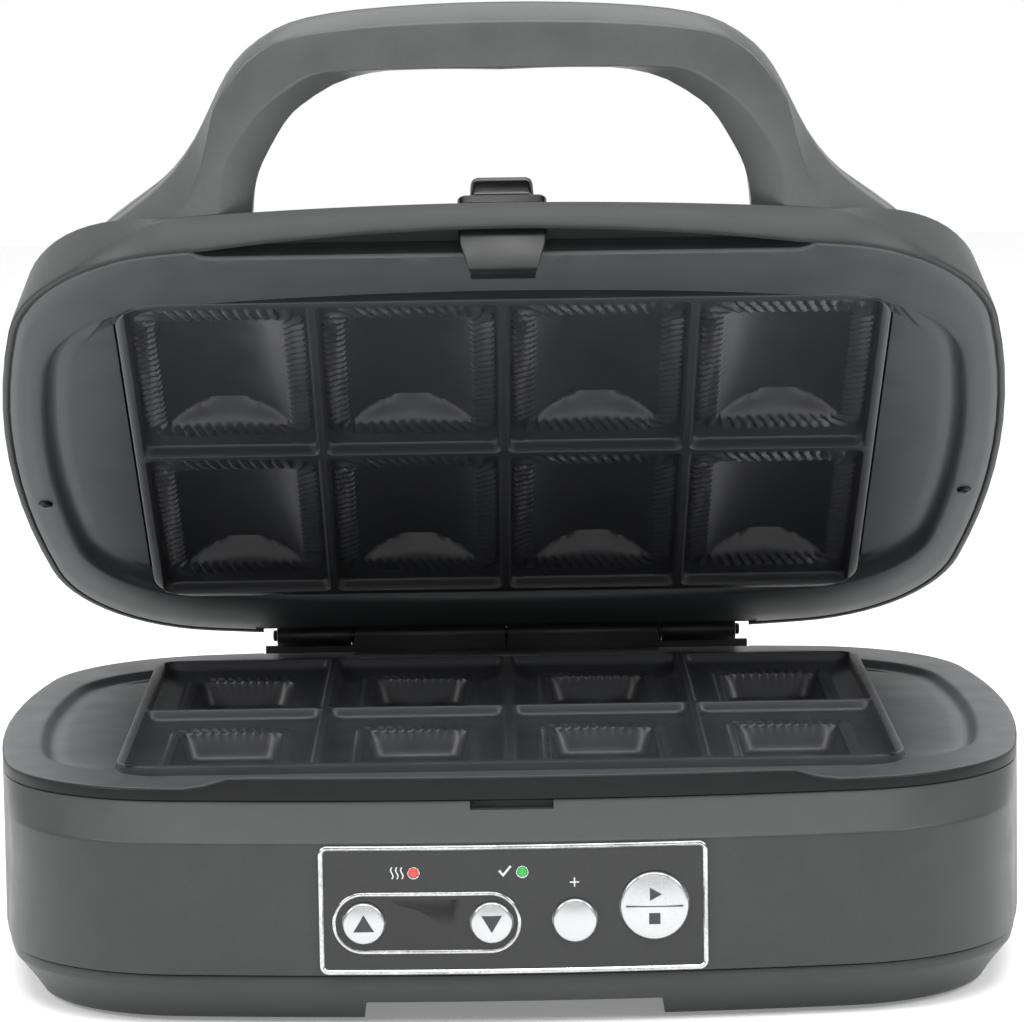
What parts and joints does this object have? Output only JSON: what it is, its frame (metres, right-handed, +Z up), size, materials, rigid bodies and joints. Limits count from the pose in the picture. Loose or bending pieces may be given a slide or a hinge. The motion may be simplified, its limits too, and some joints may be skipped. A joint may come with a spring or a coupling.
{
  "type": "electric pie maker",
  "caption": "Countertop electric pie maker: hinged lid with arched handle and latch, two cast plates of long pockets, push-button fascia with display.",
  "frame": {"origin": "middle of the object's width and depth on the table, with the lid open as pictured", "axes": "+X to the right of the fascia, +Y to the rear and the hinge, +Z up from the table"},
  "size_m": [0.328, 0.2888, 0.3075],
  "materials": {
    "grey_paint": "satin metallic grey paint on moulded plastic",
    "black_plastic": "fine-grained black moulded plastic",
    "deck_plastic": "heat-resistant moulded plastic, satin",
    "nonstick_cast": "non-stick coated die-cast aluminium",
    "sheet_aluminium": "plain rolled sheet",
    "element_steel": "oxidised heater sheath",
    "screw_steel": "zinc-plated steel",
    "chrome_trim": "bright chrome plate on plastic",
    "fascia_gloss": "gloss grey panel",
    "display_smoke": "black gloss window",
    "button_silver": "silver metallised plastic",
    "red_lens": "red moulded lens",
    "green_lens": "green moulded lens",
    "rubber_black": "matt rubber",
    "board_laminate": "solder-masked laminate",
    "electric_parts": "moulded component cases"
  },
  "bodies": {
    "base": {"base_housing": "grey_paint", "base_pan": "grey_paint", "rubber_feet": "rubber_black", "base_screws": "screw_steel", "lower_deck": "deck_plastic", "lower_plate": "nonstick_cast", "lower_element": "element_steel", "element_clips": "element_steel", "lower_heat_shield": "sheet_aluminium", "lower_plate_screws": "screw_steel", "lower_thermostat": "electric_parts", "thermal_fuse": "electric_parts", "fascia_panel": "fascia_gloss", "fascia_frame": "chrome_trim", "display_ring": "chrome_trim", "display_window": "display_smoke", "display_module": "electric_parts", "heating_lamp": "red_lens", "ready_lamp": "green_lens", "lamp_rings": "chrome_trim", "indicator_leds": "electric_parts", "control_board": "board_laminate", "board_screws": "screw_steel", "tact_switches": "electric_parts", "power_board": "board_laminate", "relay": "electric_parts", "capacitor": "electric_parts", "cord_gland": "black_plastic", "hinge_pin": "screw_steel"},
    "lid": {"lid_shell": "grey_paint", "lid_handle": "grey_paint", "handle_cover": "black_plastic", "handle_screws": "screw_steel", "lid_deck": "deck_plastic", "lid_screws": "screw_steel", "upper_plate": "nonstick_cast", "upper_element": "element_steel", "upper_heat_shield": "sheet_aluminium", "upper_plate_screws": "screw_steel", "upper_thermostat": "electric_parts", "latch_bezel": "black_plastic"},
    "latch": {"latch_hook": "black_plastic", "latch_slider": "black_plastic"},
    "up_key": {"up_button": "button_silver"},
    "down_key": {"down_button": "button_silver"},
    "extra_key": {"extra_button": "button_silver"},
    "start_key": {"start_button": "button_silver"}
  },
  "joints": [
    {"name": "lid_hinge", "type": "hinge", "parent": "base", "child": "lid", "pos_m": [0, 0.13764, 0.0765], "axis": [-1, 0, 0], "range_deg": [-35, 65]},
    {"name": "latch_slide", "type": "slide", "parent": "lid", "child": "latch", "axis": [0, 0.8192, -0.5736], "range_m": [0, 0.003]},
    {"name": "up_press", "type": "slide", "parent": "base", "child": "up_key", "axis": [0, 1, 0], "range_m": [0, 0.0012], "stiffness_N_per_m": 600},
    {"name": "down_press", "type": "slide", "parent": "base", "child": "down_key", "axis": [0, 1, 0], "range_m": [0, 0.0012], "stiffness_N_per_m": 600},
    {"name": "extra_press", "type": "slide", "parent": "base", "child": "extra_key", "axis": [0, 1, 0], "range_m": [0, 0.0012], "stiffness_N_per_m": 600},
    {"name": "start_press", "type": "slide", "parent": "base", "child": "start_key", "axis": [0, 1, 0], "range_m": [0, 0.0012], "stiffness_N_per_m": 600}
  ]
}
